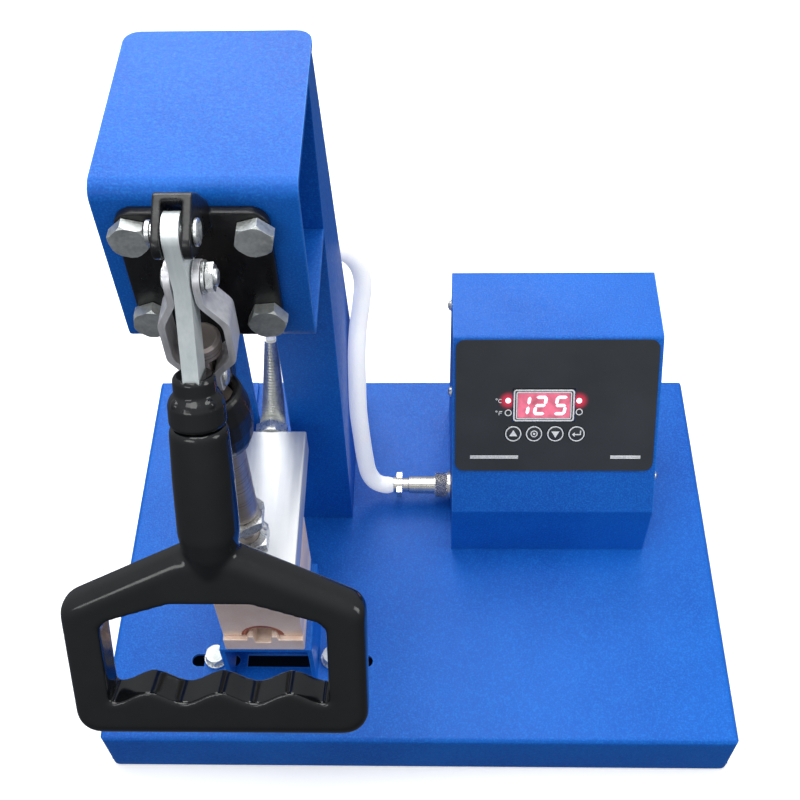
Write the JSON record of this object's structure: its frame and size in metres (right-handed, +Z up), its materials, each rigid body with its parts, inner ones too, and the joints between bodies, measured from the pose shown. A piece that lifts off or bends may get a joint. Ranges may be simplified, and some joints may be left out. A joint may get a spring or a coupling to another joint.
{
  "type": "pen heat press",
  "caption": "Bench heat transfer press for pens: a toggle clamp on a column closes a heated grooved block onto a fixed block, beside a slanted control box on a shared base.",
  "frame": {"origin": "on the table, under the middle of the object's bounding box", "axes": "+Z up, -Y towards the operator, +X to the operator's right"},
  "size_m": [0.42, 0.3583, 0.4638],
  "materials": {
    "blue_coat": "fine textured powder coat",
    "zinc": "zinc plated",
    "steel": "satin",
    "rod_steel": "turned, darkened",
    "block_aluminium": "machined",
    "black_cast": "semi gloss",
    "black_plastic": "moulded",
    "label": "satin film",
    "rubber": "matte",
    "silicone": "matte",
    "sleeve": "braided",
    "board": "matte",
    "display": "clear window"
  },
  "bodies": {
    "frame": {"base_tray": "blue_coat", "foot_front_left": "rubber", "foot_front_right": "rubber", "foot_back_left": "rubber", "foot_back_right": "rubber", "column": "blue_coat", "head_shell": "blue_coat", "clamp_body": "black_cast", "clamp_bolt_lower_left": "zinc", "clamp_bolt_lower_right": "zinc", "clamp_bolt_upper_left": "zinc", "clamp_bolt_upper_right": "zinc", "clevis_pin": "zinc", "support_bracket": "blue_coat", "lower_block": "block_aluminium", "bracket_bolt_left": "zinc", "bracket_bolt_right": "zinc", "bracket_washer_left": "zinc", "bracket_washer_right": "zinc", "box_cover": "blue_coat", "box_floor": "blue_coat", "box_screw_back_left": "zinc", "box_screw_back_right": "zinc", "box_screw_front_left": "zinc", "box_screw_front_right": "zinc", "panel_overlay": "label", "display_module": "display", "circuit_board": "board", "power_inlet": "black_plastic", "switch_frame": "black_plastic", "panel_socket": "steel", "plug_body": "steel", "plug_clamp": "steel", "cable": "sleeve", "cable_clip": "zinc"},
    "lever": {"lever_bar": "steel", "handle_collar": "black_plastic", "handle": "black_plastic", "link_bolt": "zinc", "link_washer": "zinc", "link_nut": "zinc"},
    "links": {"link_left": "steel", "link_right": "steel", "link_stud_left": "zinc", "link_stud_right": "zinc"},
    "plunger": {"plunger_rod": "rod_steel", "rod_nut_upper": "zinc", "rod_nut_lower": "zinc", "carrier_bar": "block_aluminium", "heater_block": "block_aluminium", "silicone_liner": "silicone", "gland": "zinc", "lead_guard": "steel", "heater_lead": "sleeve"},
    "up_key": {"key_up": "label"},
    "ok_key": {"key_ok": "label"},
    "down_key": {"key_down": "label"},
    "enter_key": {"key_enter": "label"},
    "switch_rocker": {"rocker": "black_plastic"},
    "coupling_ring": {"plug_ring": "steel"}
  },
  "joints": [
    {"name": "lever_swing", "type": "hinge", "parent": "frame", "child": "lever", "pos_m": [-0.0975, -0.0597, 0.451], "axis": [-1, 0, 0], "range_deg": [0, 95]},
    {"name": "link_swing", "type": "hinge", "parent": "lever", "child": "links", "pos_m": [-0.0975, -0.0597, 0.424], "axis": [-1, 0, 0], "range_deg": [-119, 0]},
    {"name": "plunger_slide", "type": "slide", "parent": "frame", "child": "plunger", "axis": [0, 0, 1], "range_m": [0, 0.0352], "deforming": ["heater_lead"]},
    {"name": "up_key_press", "type": "slide", "parent": "frame", "child": "up_key", "axis": [0, 0.8359, -0.5488], "range_m": [0, 0.001], "stiffness_N_per_m": 400},
    {"name": "ok_key_press", "type": "slide", "parent": "frame", "child": "ok_key", "axis": [0, 0.8359, -0.5488], "range_m": [0, 0.001], "stiffness_N_per_m": 400},
    {"name": "down_key_press", "type": "slide", "parent": "frame", "child": "down_key", "axis": [0, 0.8359, -0.5488], "range_m": [0, 0.001], "stiffness_N_per_m": 400},
    {"name": "enter_key_press", "type": "slide", "parent": "frame", "child": "enter_key", "axis": [0, 0.8359, -0.5488], "range_m": [0, 0.001], "stiffness_N_per_m": 400},
    {"name": "rocker_tilt", "type": "hinge", "parent": "frame", "child": "switch_rocker", "pos_m": [0.11875, 0.1496, 0.0755], "axis": [0, 0, 1], "range_deg": [0, 10]},
    {"name": "ring_turn", "type": "hinge", "parent": "frame", "child": "coupling_ring", "pos_m": [0.0165, 0.0693, 0.062], "axis": [1, 0, 0], "continuous": true}
  ],
  "couplings": [
    {"joint": "link_swing", "follows": "lever_swing", "ratio": -1.2492},
    {"joint": "plunger_slide", "follows": "lever_swing", "m_per_rad": 0.021103}
  ]
}
